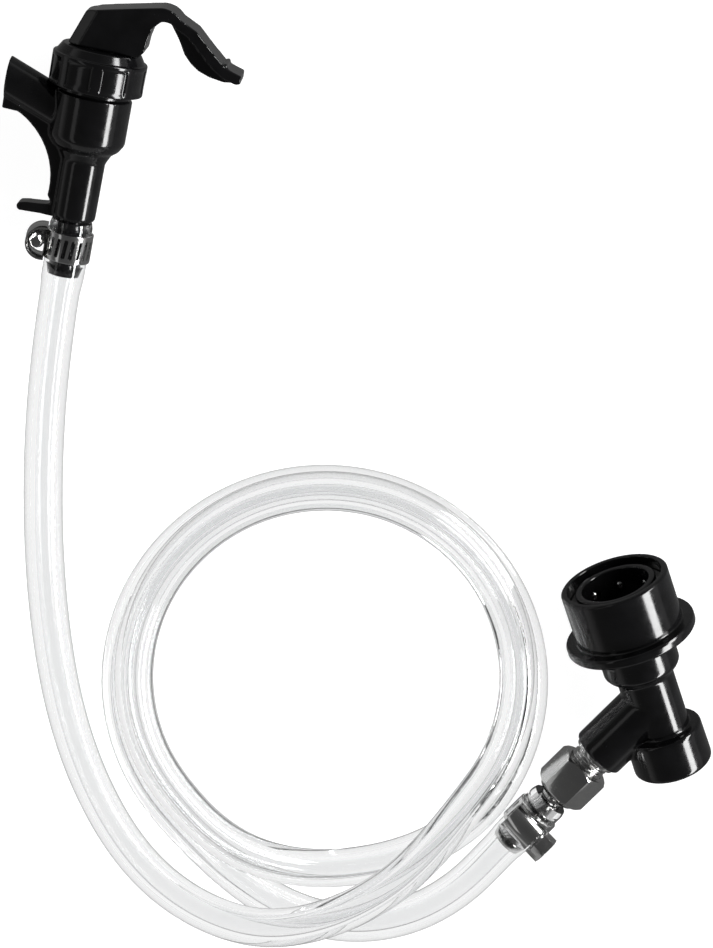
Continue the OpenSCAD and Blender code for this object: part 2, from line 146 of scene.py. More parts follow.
def colour_between(tree, value, dark, light):
    ramp = tree.nodes.new("ShaderNodeValToRGB")
    ramp.color_ramp.elements[0].position = 0.35
    ramp.color_ramp.elements[1].position = 0.65
    ramp.color_ramp.elements[0].color = (*dark, 1)
    ramp.color_ramp.elements[1].color = (*light, 1)
    tree.links.new(value, ramp.inputs["Fac"])
    return ramp.outputs["Color"]


def bump(tree, shader, height, distance, strength=1.0):
    b = tree.nodes.new("ShaderNodeBump")
    b.inputs["Strength"].default_value = strength
    b.inputs["Distance"].default_value = distance
    tree.links.new(height, b.inputs["Height"])
    tree.links.new(b.outputs["Normal"], shader.inputs["Normal"])


def black_plastic():
    """Injection-moulded black plastic: glossy, faintly uneven, with a little fine dust dulling it."""
    m, tree, shader = new_material("black_plastic_gloss", IOR=1.5)
    blotch = noise(tree, 160, 3)
    tree.links.new(colour_between(tree, blotch, (0.002, 0.002, 0.0022), (0.004, 0.004, 0.0044)),
                   shader.inputs["Base Color"])
    tree.links.new(spread(tree, noise(tree, 420, 5), 0.1, 0.17), shader.inputs["Roughness"])
    bump(tree, shader, noise(tree, 900, 2), 0.00002, 0.25)
    return m


def steel(name, tint=0.6, rough=(0.14, 0.22), stretch=(1, 1, 1), grain=2400):
    """Stainless steel with fine drawn grain."""
    m, tree, shader = new_material(name, Metallic=1.0)
    streak = noise(tree, grain, 5, stretch)
    tree.links.new(colour_between(tree, noise(tree, 300, 4), (tint * 0.94,) * 3, (tint, tint, tint * 0.985)),
                   shader.inputs["Base Color"])
    tree.links.new(spread(tree, streak, *rough), shader.inputs["Roughness"])
    bump(tree, shader, streak, 0.000005, 0.15)
    return m


def black_rubber():
    m, tree, shader = new_material("black_rubber_matte", IOR=1.5)
    tree.links.new(colour_between(tree, noise(tree, 700, 4), (0.012, 0.012, 0.012), (0.022, 0.022, 0.021)),
                   shader.inputs["Base Color"])
    tree.links.new(spread(tree, noise(tree, 1500, 4), 0.45, 0.65), shader.inputs["Roughness"])
    bump(tree, shader, noise(tree, 2500, 3), 0.00002, 0.4)
    return m


def white_nylon():
    m, tree, shader = new_material("white_nylon", IOR=1.53)
    tree.links.new(colour_between(tree, noise(tree, 600, 4), (0.78, 0.77, 0.72), (0.85, 0.84, 0.8)),
                   shader.inputs["Base Color"])
    tree.links.new(spread(tree, noise(tree, 1200, 3), 0.3, 0.45), shader.inputs["Roughness"])
    return m


def clear_vinyl():
    """Clear flexible PVC: smooth, faintly clouded, letting lamp light through."""
    m, tree, shader = new_material("clear_vinyl", IOR=1.53, Transmission_Weight=1.0)
    tree.links.new(colour_between(tree, noise(tree, 60, 2), (0.975, 0.98, 0.982), (0.99, 0.992, 0.994)),
                   shader.inputs["Base Color"])
    shader.inputs["Roughness"].default_value = 0.02
    output = next(n for n in tree.nodes if n.type == "OUTPUT_MATERIAL")
    path = tree.nodes.new("ShaderNodeLightPath")
    through = tree.nodes.new("ShaderNodeBsdfTransparent")
    through.inputs["Color"].default_value = (0.93, 0.94, 0.945, 1)
    mix = tree.nodes.new("ShaderNodeMixShader")
    tree.links.new(path.outputs["Is Shadow Ray"], mix.inputs["Fac"])
    tree.links.new(shader.outputs["BSDF"], mix.inputs[1])
    tree.links.new(through.outputs["BSDF"], mix.inputs[2])
    tree.links.new(mix.outputs["Shader"], output.inputs["Surface"])
    return m


PLASTIC = black_plastic()
STEEL = steel("stainless_steel_drawn")
BAND_STEEL = steel("stainless_steel_band", 0.62, (0.1, 0.16))
TURNED = steel("stainless_steel_turned", 0.56, (0.1, 0.18), (1, 1, 1), 1800)
RUBBER = black_rubber()
NYLON = white_nylon()
VINYL = clear_vinyl()
SLOT_LOOK = {"black_plastic": PLASTIC, "stainless_steel": STEEL, "black_rubber": RUBBER,
             "white_nylon": NYLON, "clear_hose": VINYL}


# ---- Mesh helpers ----
def face_outward(mesh):
    bm = bmesh.new()
    bm.from_mesh(mesh)
    bmesh.ops.remove_doubles(bm, verts=bm.verts, dist=1e-7)
    bmesh.ops.recalc_face_normals(bm, faces=bm.faces)
    bm.to_mesh(mesh)
    bm.free()


def mesh_object(name, points, faces, place=LAYOUT):
    mesh = bpy.data.meshes.new(name)
    mesh.from_pydata([tuple(p) for p in place.metres(points)], [], faces)
    face_outward(mesh)
    piece = bpy.data.objects.new(name, mesh)
    bpy.context.scene.collection.objects.link(piece)
    return piece


def fillet(outline, steps=5, closed=True):
    """Outline of (x, y) or (x, y, radius) corners, with each corner that has a radius rounded."""
    out = []
    n = len(outline)
    for i, corner in enumerate(outline):
        here = np.array(corner[:2], float)
        radius = corner[2] if len(corner) > 2 else 0
        if not radius or (not closed and i in (0, n - 1)):
            out.append(here)
            continue
        before = np.array(outline[i - 1][:2], float) - here
        after = np.array(outline[(i + 1) % n][:2], float) - here
        lb, la = np.linalg.norm(before), np.linalg.norm(after)
        before, after = before / lb, after / la
        bend = np.arccos(np.clip(-before @ after, -1, 1))
        reach = min(radius * tan(bend / 2), 0.49 * lb, 0.49 * la)
        start, end = here + before * reach, here + after * reach
        for k in range(steps + 1):
            t = k / steps
            out.append((1 - t) ** 2 * start + 2 * t * (1 - t) * here + t ** 2 * end)
    return out


def lathe(name, profile, place, sides=96, warp=None):
    """Closed (r, z) profile turned about Z. warp(r, z, angle) gives each point's own (r, z)."""
    points, rows = [], []
    for r, z in profile:
        if r < 1e-6:
            rows.append([len(points)] * sides)
            points.append((0, 0, z))
            continue
        rows.append(list(range(len(points), len(points) + sides)))
        for k in range(sides):
            a = 2 * pi * k / sides
            wr, wz = warp(r, z, a) if warp else (r, z)
            points.append((wr * cos(a), wr * sin(a), wz))
    faces = []
    for i in range(len(rows)):
        a, b = rows[i], rows[(i + 1) % len(rows)]
        if a[0] == a[1] and b[0] == b[1]:
            continue
        for k in range(sides):
            j = (k + 1) % sides
            loop = [a[k], a[j], b[j], b[k]]
            face = [v for n, v in enumerate(loop) if v != loop[n - 1]]
            if len(face) > 2:
                faces.append(face)
    return mesh_object(name, points, faces, place)


def prism(name, outline, width, place, axis="y"):
    """(x, z) outline pulled out along Y, width across, centred."""
    n = len(outline)
    points = [(p[0], y, p[1]) for y in (-width / 2, width / 2) for p in outline]
    if axis == "z":
        points = [(p[0], p[1], z) for z in (-width / 2, width / 2) for p in outline]
    faces = [list(range(n))[::-1], [n + i for i in range(n)]]
    faces += [[i, (i + 1) % n, n + (i + 1) % n, n + i] for i in range(n)]
    return mesh_object(name, points, faces, place)


def prism_z(name, outline, z1, z2, place):
    """(x, y) outline pulled out along Z, from z1 to z2."""
    n = len(outline)
    points = [(p[0], p[1], z) for z in (z1, z2) for p in outline]
    faces = [[i, (i + 1) % n, n + (i + 1) % n, n + i] for i in range(n)]
    faces += [list(range(n))[::-1], [n + i for i in range(n)]]
    return mesh_object(name, points, faces, place)


def applied(piece):
    """The piece with its modifiers applied."""
    bpy.context.view_layer.update()
    graph = bpy.context.evaluated_depsgraph_get()
    mesh = bpy.data.meshes.new_from_object(piece.evaluated_get(graph))
    old = piece.data
    piece.modifiers.clear()
    piece.data = mesh
    bpy.data.meshes.remove(old)
    return piece


def joined(name, parts):
    """One object that holds every part's mesh."""
    bm = bmesh.new()
    for part in parts:
        bm.from_mesh(part.data)
        drop(part)
    bmesh.ops.recalc_face_normals(bm, faces=bm.faces)
    mesh = bpy.data.meshes.new(name)
    bm.to_mesh(mesh)
    bm.free()
    piece = bpy.data.objects.new(name, mesh)
    bpy.context.scene.collection.objects.link(piece)
    return piece


def drop(piece):
    mesh = piece.data
    bpy.data.objects.remove(piece)
    bpy.data.meshes.remove(mesh)


def moulded(name, parts, grain=0.3, rounds=6):
    """Parts fused into one skin with softened edges and corners, as a mould makes them."""
    piece = joined(name, parts)
    remesh = piece.modifiers.new("fuse", "REMESH")
    remesh.mode = "VOXEL"
    remesh.voxel_size = grain * MM
    remesh.adaptivity = 0
    applied(piece)
    soften = piece.modifiers.new("soften", "SMOOTH")
    soften.factor = 0.5
    soften.iterations = rounds
    return applied(piece)


def cut(piece, cutters):
    """Takes the cutters out of the piece."""
    for cutter in cutters:
        tool = piece.modifiers.new("cut", "BOOLEAN")
        tool.operation = "DIFFERENCE"
        tool.solver = "EXACT"
        tool.object = cutter
        applied(piece)
        drop(cutter)
    return piece


def kept_inside(piece, shape):
    """Only what the piece has inside the shape."""
    tool = piece.modifiers.new("both", "BOOLEAN")
    tool.operation = "INTERSECT"
    tool.solver = "EXACT"
    tool.object = shape
    applied(piece)
    drop(shape)


def bevelled(piece, width, sharper_than):
    """The piece with edges over that many degrees bevelled, width in millimetres."""
    edge = piece.modifiers.new("edge", "BEVEL")
    edge.width = width * MM
    edge.segments = 2
    edge.limit_method = "ANGLE"
    edge.angle_limit = radians(sharper_than)
    applied(piece)


def hexagon(flats):
    """Corners of a hexagon, flats across."""
    corner = flats / sqrt(3)
    return [(corner * cos(radians(60 * k)), corner * sin(radians(60 * k))) for k in range(6)]


def rod(name, radius, length, place, sides=48):
    """A plain closed cylinder from the place's origin along its Z."""
    return lathe(name, [(0, 0), (radius, 0), (radius, length), (0, length)], place, sides)


def finished(piece, body, look, nodes, crease=32):
    """Normals made even, smooth shading with real edges kept, and the piece put on its CAD body."""
    face_outward(piece.data)
    piece.data.shade_smooth()
    piece.data.set_sharp_from_angle(angle=radians(crease))
    piece.data.materials.clear()
    piece.data.materials.append(look)
    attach(piece, body)
    if nodes:
        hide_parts(*nodes)
    return piece


def arc(centre, radius, start, end, steps):
    """Points of an arc, in degrees."""
    angles = [radians(start + (end - start) * i / steps) for i in range(steps + 1)]
    return [(centre[0] + radius * cos(a), centre[1] + radius * sin(a)) for a in angles]


# ---- Hose: route repeated from part.scad ----
HOSE_R = 5.55
HOSE_BORE_R = 2.4
CUFF_R = 5.95
CUFF_BORE_R = 2.7
LOWER_MID, LOWER_R, LOWER_Z = (-9.2, -61), 59.3, 5.6
UPPER_MID, UPPER_R, UPPER_Z = (-8.6, -56.4), 55, 16.75
COIL_FROM, COIL_TO = -40, 220
CROSS_FROM_Z, CROSS_TO_Z = 236, 290
TAP_ROUTE = [
    (-82.9, 55, 6.3), (-84.2, 48, 5.8), (-85.9, 37, 5.7), (-87.7, 23, 5.7),
    (-88.9, 8, 5.7), (-89.5, -7, 5.7), (-89.5, -22, 5.7), (-88.8, -37, 5.7),
    (-87.3, -52, 5.7), (-85, -66, 5.7), (-81.5, -80, 5.7), (-76.3, -94, 5.7),
    (-69.5, -107, 5.9), (-61.6, -117, 7), (-53.5, -123.5, 9), (-45.2, -127.8, 11.6),
    (-36, -130.4, 14.6), (-26.5, -131.5, 16.5), (-14.5, -130.2, 17),
    (-1.6, -125.6, 17), (11.5, -117.6, 17), (22.8, -105.9, 16.9)]
END_ROUTE = [
    (-46, -109, 5.6), (-38, -117, 5.6), (-29.5, -124, 5.6), (-20.5, -129.3, 5.6),
    (-11, -132.8, 5.6), (-1, -134.2, 5.6), (8.5, -133.4, 5.6), (17.5, -130.8, 5.6),
    (25.8, -126.4, 5.6), (32.8, -120.8, 5.7), (38, -115.3, 5.8)]
CUFF_LEN = 19


def turn_point(middle, angle, radius, height):
    a = radians(angle)
    return (middle[0] + radius * cos(a), middle[1] + radius * sin(a), height)


def between(a, b, t):
    return a + (b - a) * t


def cross_point(angle):
    share = (angle - COIL_TO) / (360 + COIL_FROM - COIL_TO)
    middle = [between(u, w, share) for u, w in zip(UPPER_MID, LOWER_MID)]
    fall = float(ease(angle, CROSS_FROM_Z, CROSS_TO_Z))
    return turn_point(middle, angle, between(UPPER_R, LOWER_R, share), between(UPPER_Z, LOWER_Z, fall))


def hose_route():
    step = 10
    route = [TAP.point((0, 0, s)) for s in (-0.9, -7, -14)]
    route += TAP_ROUTE
    route += [turn_point(UPPER_MID, a, UPPER_R, UPPER_Z) for a in range(COIL_FROM, COIL_TO, step)]
    route += [cross_point(a) for a in range(COIL_TO, 360 + COIL_FROM, step)]
    route += [turn_point(LOWER_MID, a, LOWER_R, LOWER_Z) for a in range(COIL_FROM, COIL_TO + step, step)]
    route += END_ROUTE
    route += [ARM.point((0, 0, q)) for q in (64, 57, 50, 43.1)]
    return np.array(route, float)


def even_curve(points, gap):
    """Points about gap apart on the smooth curve through points."""
    ends = np.vstack([2 * points[0] - points[1], points, 2 * points[-1] - points[-2]])
    fine = []
    for i in range(1, len(ends) - 2):
        p0, p1, p2, p3 = ends[i - 1:i + 3]
        for t in np.linspace(0, 1, 12, endpoint=False):
            fine.append(0.5 * (2 * p1 + (p2 - p0) * t + (2 * p0 - 5 * p1 + 4 * p2 - p3) * t ** 2
                               + (3 * p1 - p0 - 3 * p2 + p3) * t ** 3))
    fine = np.array(fine + [points[-1]])
    for _ in range(60):
        fine[1:-1] = 0.25 * fine[:-2] + 0.5 * fine[1:-1] + 0.25 * fine[2:]
    along = np.concatenate([[0], np.cumsum(np.linalg.norm(np.diff(fine, axis=0), axis=1))])
    marks = np.linspace(0, along[-1], int(ceil(along[-1] / gap)) + 1)
    return np.stack([np.interp(marks, along, fine[:, k]) for k in range(3)], axis=1), marks


def sweep_frames(path):
    """A side and an up direction at each point of the path, the side kept level, square to the path and to
    Z.
    """
    ahead = np.gradient(path, axis=0)
    ahead /= np.linalg.norm(ahead, axis=1)[:, None]
    side = np.cross(ahead, (0, 0, 1.0))
    side /= np.linalg.norm(side, axis=1)[:, None]
    return side, np.cross(side, ahead)


def swept_rings(path, radii, sides):
    side, up = sweep_frames(path)
    angles = 2 * pi * np.arange(sides) / sides
    return (path[:, None, :] + radii[:, None, None] * (np.cos(angles)[None, :, None] * side[:, None, :]
                                                       + np.sin(angles)[None, :, None] * up[:, None, :]))


def ease(x, low, high):
    """0 below low, 1 above high and a smooth rise between."""
    t = np.clip((x - low) / (high - low), 0, 1)
    return t * t * (3 - 2 * t)


def hose():
    """The whole hose as one tube with a real bore, stretched over a barb at each end."""
    sides = 56
    path, marks = even_curve(hose_route(), 1.4)
    total = marks[-1]
    from_end = np.minimum(marks, total - marks)
    narrow = ease(from_end, CUFF_LEN - 3.5, CUFF_LEN + 3)
    outer = CUFF_R + (HOSE_R - CUFF_R) * narrow
    inner = CUFF_BORE_R + (HOSE_BORE_R - CUFF_BORE_R) * narrow
    bevel = 0.35
    outer[[0, -1]] -= bevel
    n = len(path)
    loops = np.concatenate([swept_rings(path, outer, sides), swept_rings(path, inner, sides)[::-1]])
    points = loops.reshape(-1, 3)
    faces = []
    for i in range(2 * n):
        j = (i + 1) % (2 * n)
        for k in range(sides):
            m = (k + 1) % sides
            faces.append([int(i * sides + k), int(i * sides + m), int(j * sides + m), int(j * sides + k)])
    piece = mesh_object("hose", points, faces)
    nodes = ["hose_tap_cuff", "hose_tap_run", "hose_coil", "hose_cross_run", "hose_end_run",
             "hose_fitting_cuff"]
    finished(piece, "line", VINYL, nodes, 60)


hose()


# ---- Tap ----
def ridge_profile(root, ridge, start, pitch, count, up=True):
    """Saw-tooth rings of a hose barb from height start."""
    out = []
    for i in range(count):
        z = start + pitch * i
        if up:
            out += [(root, z), (ridge - 0.1, z + pitch * 0.66), (ridge, z + pitch * 0.7),
                    (ridge - 0.04, z + pitch * 0.74), (root + 0.05, z + pitch * 0.78)]
        else:
            out += [(root + 0.05, z + pitch * 0.22), (ridge - 0.04, z + pitch * 0.26),
                    (ridge, z + pitch * 0.3), (ridge - 0.1, z + pitch * 0.34), (root, z + pitch)]
    return out


def tap_barb():
    profile = [(2.1, -16.5)] + ridge_profile(2.8, 3.35, -16.5, 3.6, 4)
    profile += [(2.8, -1.2), (2.9, -0.4), (5, 0.1), (5, 0.8), (2.1, 0.8)]
    finished(lathe("tap_barb", profile, TAP, 64), "line", PLASTIC, ["tap_body"])


def tap_shell_profile():
    return fillet([
        (0, -0.3), (5.6, -0.3, 0.5), (6.15, 0.5, 0.6), (6.25, 16.5, 2.2), (7.6, 19.2, 1.4), (9.3, 20.5, 1.2),
        (10.6, 22.6, 2.4), (10.6, 35, 0.45), (9.6, 35, 0.2), (9.6, 42, 0.3), (0, 42)], 6)


def tap_web_outline():
    """Side view of the web under the spout, from the outlet down to the thumb prong."""
    return ([(0, 34), (-11.4, 33.4), (-23.9, 31.5), (-23.9, 26.6)]
            + arc((-28.6, 7.6), 21.0, 64, -6, 16) + [(-5.5, 1.6), (0, 1.6)])


def tap_prong_outline():
    return [(-4, 4.4), (-6.3, 3.4), (-7.6, 2.75), (-10, 2.45), (-13, 2.2), (-15, 1.8),
            (-15.75, 0.9), (-15.5, 0.0), (-14.8, -0.45), (-12, -0.35), (-9, -0.2), (-6.5, -0.3), (-4, -0.3)]


def tap_body():
    spout = TAP.moved((0, 0, 26), turn_y(20 - 90))
    tube = rod("spout_tube", 5.6, 34, spout, 64)
    trim = prism("spout_trim", [(-60, 0), (-23.95, 0), (-23.95, 70), (-60, 70)], 40, TAP)
    cut(tube, [trim])
    parts = [lathe("tap_shell", tap_shell_profile(), TAP, 128), tube,
             prism("tap_web", tap_web_outline(), 6.2, TAP), prism("tap_prong", tap_prong_outline(), 6, TAP)]
    piece = moulded("tap_body_skin", parts, 0.28, 7)
    cut(piece, [rod("inlet", 2.1, 60, TAP.moved((0, 0, -20)), 40),
                rod("chamber", 8, 30, TAP.moved((0, 0, 23.5)), 64),
                rod("spout_throat", 3.4, 10, spout.moved((0, 0, 5)), 64),
                rod("spout_bore", 4, 30, spout.moved((0, 0, 12)), 64)])
    finished(piece, "line", PLASTIC, ["tap_body"], 45)


def bonnet_cap():
    """Screw cap: wide shallow flutes between eight grip ribs, with a bevelled top."""
    outer = 13
    pitch = 45

    def fluted(r, z, angle):
        if r < 11.9 or not 36.9 < z < 44.7:
            return r, z
        across = abs((degrees(angle) - 27 + pitch / 2) % pitch - pitch / 2)
        deep = 1 - min(max((across - 15.5) / 1.6, 0), 1)
        rise = min(max((z - 37.3) / 0.7, 0), 1) * min(max((44.4 - z) / 0.7, 0), 1)
        return r - 0.4 * deep * deep * (3 - 2 * deep) * rise, z

    profile = fillet([(2.6, 42.45), (9.7, 42.45), (9.7, 36.6, 0.2), (outer - 0.1, 36.6, 0.5),
                      (outer, 45.3, 0.9), (12.2, 45.5, 0.5), (10.8, 47.8, 0.7), (6.5, 47.9, 0.15),
                      (6.2, 47.5, 0.15), (2.6, 47.5, 0.1)], 5)
    dense = []
    for i, p in enumerate(profile):
        q = profile[(i + 1) % len(profile)]
        steps = max(1, int(np.linalg.norm(np.array(q) - p) / 0.35)) if p[0] > 12.2 and q[0] > 12.2 else 1
        dense += [np.array(p) + (np.array(q) - p) * k / steps for k in range(steps)]
    skin = lathe("bonnet_cap_skin", dense, TAP, 360, fluted)
    finished(skin, "line", PLASTIC, ["bonnet_cap"], 50)


def lever():
    """Rocker base with bevelled corners, a crest and a drooping handle with a deep web beneath."""
    base = [(-9, 48.25), (-5.6, 57.4), (-4.6, 57.9), (4, 60), (12.4, 60.5), (15, 58.9), (12.9, 56.6),
            (12.1, 53), (11.9, 49.9), (10.4, 48.0), (-8.6, 48.0)]
    band = ([(-3, 58.4), (6, 60.6)] + arc((15.1, 56.0), 6.6, 96, 42, 7)
            + [(24.7, 58.3), (29.3, 54.2), (33.8, 50.5), (36.4, 49.6), (38.8, 48.95), (38.9, 46.8),
               (37.6, 46.4), (33.9, 47.3), (30.6, 49.3), (26.8, 52.6), (23, 56.0)]
            + arc((16.3, 54.9), 4.1, 50, 140, 7) + [(11, 55), (2, 56)])
    web = [(17.4, 58.6), (20.4, 54.6), (22.4, 51.2), (24.5, 49.1), (27, 47.5), (30, 46.5),
           (34, 45.95), (37.2, 46.4), (37.4, 47.4), (32, 50), (25, 56)]
    lip = [(33.2, 50.2), (33.7, 51.35), (34.5, 51.2), (35.0, 49.6)]

    base_piece = prism("lever_base", base, 13, TAP)
    cutters = []
    for side in (-1, 1):
        slope = atan2(3.4, 9.15)
        corner = Place(TAP.turn @ turn_y(degrees(slope)), TAP.point((-9, side * 6.5, 48.2)))
        cutters.append(prism("corner", [(-4, side * -6.2), (2.9, 0), (2.9, side * 4), (-4, side * 4)],
                             60, corner, "z"))
    cut(base_piece, cutters)
    parts = [base_piece, prism("lever_band", band, 13, TAP), prism("lever_web", web, 7.6, TAP),
             prism("lever_lip", lip, 11.6, TAP)]
    piece = moulded("lever_skin", parts, 0.28, 5)
    slot = [(-5.5, 40), (5.5, 40), (5.5, 56.6), (-5.5, 56.6)]
    cut(piece, [prism("stem_slot", slot, 5.2, TAP),
                rod("pin_bore", 1.55, 13, TAP.moved((0, 7.5, 52.5), turn_x(90)), 32)])
    finished(piece, "lever", PLASTIC, ["tap_lever"], 45)


tap_barb()
tap_body()
bonnet_cap()
lever()


# ---- Clamps: hose axis along Z, housing on +X, screw head towards -Y ----
BAND_R = 6.03
BAND_T = 0.6
BAND_W = 8
WORM_R = 2
WORM_ROOT = 1.5
WORM_OFF = BAND_R + BAND_T + 2.22
HOUSING_MID = 7.2


def clamp_band(name, place, node):
    """Slotted band with rolled edges."""
    half = BAND_W / 2
    profile = fillet([(BAND_R, -half, 0.15), (BAND_R + BAND_T, -half, 0.25), (BAND_R + BAND_T, half, 0.25),
                      (BAND_R, half, 0.15)], 3)
    piece = lathe(name, profile, place, 180)
    outline = fillet([(-0.55, -2.7, 0.45), (0.55, -2.7, 0.45), (0.55, 2.7, 0.45), (-0.55, 2.7, 0.45)], 4)
    cutters = []
    for i in range(16):
        angle = 48 + i * 264 / 15
        at = place.moved((0, 0, 0), turn_z(angle)).moved((BAND_R + 0.2, 0, 0), turn_z(90) @ turn_x(90))
        cutters.append(prism("slot", [(p[0] + 0.08 * p[1], p[1]) for p in outline], 2.4, at, "z"))
    cut(piece, [joined("slots", cutters)])
    finished(piece, "line", BAND_STEEL, [node], 35)


def clamp_housing(name, place, node, length):
    """Pressed half-round shell over the worm, its feet down on the band."""
    outer, inner, foot = 4.7, 4.1, -1
    section = ([(foot, -outer)] + arc((0, 0), outer, -90, 90, 32) + [(foot, outer), (foot, inner)]
               + arc((0, 0), inner, 90, -90, 28) + [(foot, -inner)])
    piece = prism_z(name, section, 0, length, place.moved((HOUSING_MID, length / 2, 0), turn_x(90)))
    bevelled(piece, 0.16, 50)
    finished(piece, "line", BAND_STEEL, [node], 35)


def clamp_screw(name, place, body, node, length, head_len, flats):
    """Worm with a helical thread, a collar and a slotted hexagon head."""
    along = place.moved((WORM_OFF, length / 2, 0), turn_x(90))
    pitch = 1.9

    def thread(r, z, angle):
        if abs(r - WORM_ROOT) > 0.02 or not 0.4 < z < length - 0.1:
            return r, z
        turn = (z / pitch - angle / (2 * pi)) % 1.0
        crest = min(max(1.5 - abs(turn - 0.5) * 5, 0), 1)
        fade = min(max((z - 0.4) / 0.6, 0), 1) * min(max((length - 0.1 - z) / 0.6, 0), 1)
        return WORM_ROOT + (WORM_R - WORM_ROOT) * crest * fade, z

    collar = flats / 2 + 0.5
    end = length + 0.9 + head_len
    profile = [(0, 0.3), (1.3, 0.3), (WORM_ROOT, 0.45)]
    profile += [(WORM_ROOT, z) for z in np.arange(0.5, length - 0.05, 0.15)]
    profile += fillet([(WORM_ROOT, length + 0.3), (collar, length + 0.32, 0.1), (collar, length + 1, 0.1),
                       (0, length + 1)], 3)
    shaft = lathe("shaft", profile, along, 64, thread)
    head = prism_z("head", hexagon(flats), length + 0.9, end, along)
    dome = lathe("dome", [(0, length), (flats, length), (flats, end - 1), (flats / 2, end - 0.15),
                          (flats / 2 - 0.5, end), (0, end)], along, 64)
    kept_inside(head, dome)
    cut(head, [prism_z("slot", [(-6, -0.5), (6, -0.5), (6, 0.5), (-6, 0.5)], end - 1.2, end + 1, along)])
    bevelled(head, 0.12, 28)
    finished(joined(name, [shaft, head]), body, TURNED, [node], 32)


# Each clamp: name, place, housing length, head length, head's width across flats
CLAMPS = (("tap", TAP_CLAMP, 8.4, 2.4, 5), ("fitting", FIT_CLAMP, 10, 4, 7.6))
for side, place, length, head_len, flats in CLAMPS:
    clamp_band(side + "_clamp_band_skin", place, side + "_clamp_band")
    clamp_housing(side + "_clamp_housing_skin", place, side + "_clamp_housing", length)
    clamp_screw(side + "_clamp_screw_skin", place, side + "_clamp_worm", side + "_clamp_screw",
                length, head_len, flats)


# ---- Swivel fitting, along the arm ----
NUT_FLATS = 14.3
NUT_TURNED = 24


def barb_tail():
    profile = fillet([(2.1, 34.75), (5.2, 34.75, 0.2), (5.2, 36.1, 0.2), (3.8, 36.1),
                      (3.8, 42.6, 0.2), (3.4, 43, 0.1), (2.8, 43.6, 0.1), (2.8, 46)], 3, closed=False)
    profile += ridge_profile(2.8, 3.35, 46, 3.2, 5, up=False)
    profile += fillet([(2.7, 62), (2.1, 62.05)], 3, closed=False)
    finished(lathe("barb_tail_skin", profile, ARM, 72), "line", TURNED, ["barb_tail"])


def swivel_nut():
    """Hexagon with turned bevels at both ends and a shoulder behind."""
    piece = prism_z("swivel_nut_skin", hexagon(NUT_FLATS), 27.8, 40.8, ARM.moved(turn=turn_z(NUT_TURNED)))
    bevels = [(0, 27.8), (7.0, 27.8), (7.6, 28.1), (8.5, 29.1), (8.5, 38.2), (7.4, 39.3),
              (6.6, 39.6), (5.8, 40.6), (5.5, 40.8), (0, 40.8)]
    turned = lathe("turned", bevels, ARM, 96)
    kept_inside(piece, turned)
    bore = [(0, 20), (5.63, 20), (5.63, 36.2), (3.88, 36.2), (3.88, 50), (0, 50)]
    cut(piece, [lathe("bore", bore, ARM, 96)])
    bevelled(piece, 0.18, 30)
    finished(piece, "nut", TURNED, ["swivel_nut"], 30)


def flare_stub():
    """Stub with a real helical thread, a collar and a seat."""
    pitch = 1.27

    def thread(r, z, angle):
        if r < 4.9 or not 24.6 < z < 32.2:
            return r, z
        turn = (z / pitch - angle / (2 * pi)) % 1.0
        crest = 1 - abs(turn - 0.5) * 2
        fade = min(max((z - 24.6) / 0.9, 0), 1) * min(max((32.2 - z) / 0.9, 0), 1)
        return 5.0 + (5.55 - 5.0) * min(crest * 1.25, 1) * fade, z

    profile = fillet([(2.3, 15), (5.4, 15), (5.4, 23.05), (6.6, 23.05, 0.2), (6.6, 24.2, 0.25),
                      (5.0, 24.25)], 3, closed=False)
    profile += [(5.0, 24.4 + 0.1 * i) for i in range(78)]
    profile += [(4.7, 32.4), (3.0, 33.1), (2.3, 33.1)]
    skin = lathe("flare_stub_skin", profile, ARM, 96, thread)
    finished(skin, "line", TURNED, ["flare_stub"], 40)


barb_tail()
swivel_nut()
flare_stub()


# ---- Disconnect ----
BALLS = 8
BALL_PHASE = 85
BALL_R = 1.6
BALL_RING_R = 11.34
BALL_Z = -6.7


def ball_turn(i):
    return turn_z(i * 360 / BALLS + BALL_PHASE)


def disconnect_body():
    profile = fillet([(0, -12), (11.6, -12), (11.6, -15.2), (13.4, -15.2, 0.2), (13.4, -17.2, 0.2),
                      (11.1, -17.4, 0.2),
                      (11.1, -28, 0.5), (10.3, -29.2, 0.5), (8.2, -30.9, 0.6), (8.2, -48.8, 0.4),
                      (11.3, -48.8, 0.8),
                      (11.5, -60.4, 0.9), (10.6, -61.2, 0.5), (0, -61.2)], 4)
    arm_profile = fillet([(0, 0), (7.9, 0), (7.9, 23, 0.6), (0, 23)], 4)
    parts = [lathe("column", profile, DISC, 128), lathe("arm", arm_profile, ARM, 128)]
    piece = moulded("disconnect_column", parts, 0.3, 10)
    cut(piece, [rod("throat", 3.2, 44, DISC.moved((0, 0, -54.6)), 40),
                rod("well", 8, 20, DISC.moved((0, 0, -14)), 64),
                rod("valve_bore", 5.5, 37.2, DISC.moved((0, 0, -54.6)), 64),
                rod("plug_bore", 9.4, 20, DISC.moved((0, 0, -74.6)), 96),
                rod("arm_bore", 2.5, 30, ARM.moved((0, 0, 4)), 40),
                rod("arm_socket", 5.5, 20, ARM.moved((0, 0, 14.9)), 64)])
    finished(piece, "line", PLASTIC, ["disconnect_body"], 45)
    mouth = fillet([(9.7, -1.2, 0.5), (11.6, -1.2, 0.5), (11.6, -3.5), (10.9, -3.5), (10.9, -4.9),
                    (11.6, -4.9),
                    (11.6, -12.2), (8, -12.2), (8, -10.9), (9.7, -10.9)], 4)
    ring = lathe("disconnect_mouth", mouth, DISC, 160)
    pockets = []
    for i in range(BALLS):
        at = DISC.moved((0, 0, BALL_Z), ball_turn(i)).moved((8, 0, 0), turn_y(90))
        pockets.append(rod("pocket", 1.64, 6, at, 32))
    cut(ring, [joined("pockets", pockets)])
    finished(ring, "line", PLASTIC, ["disconnect_body"], 35)


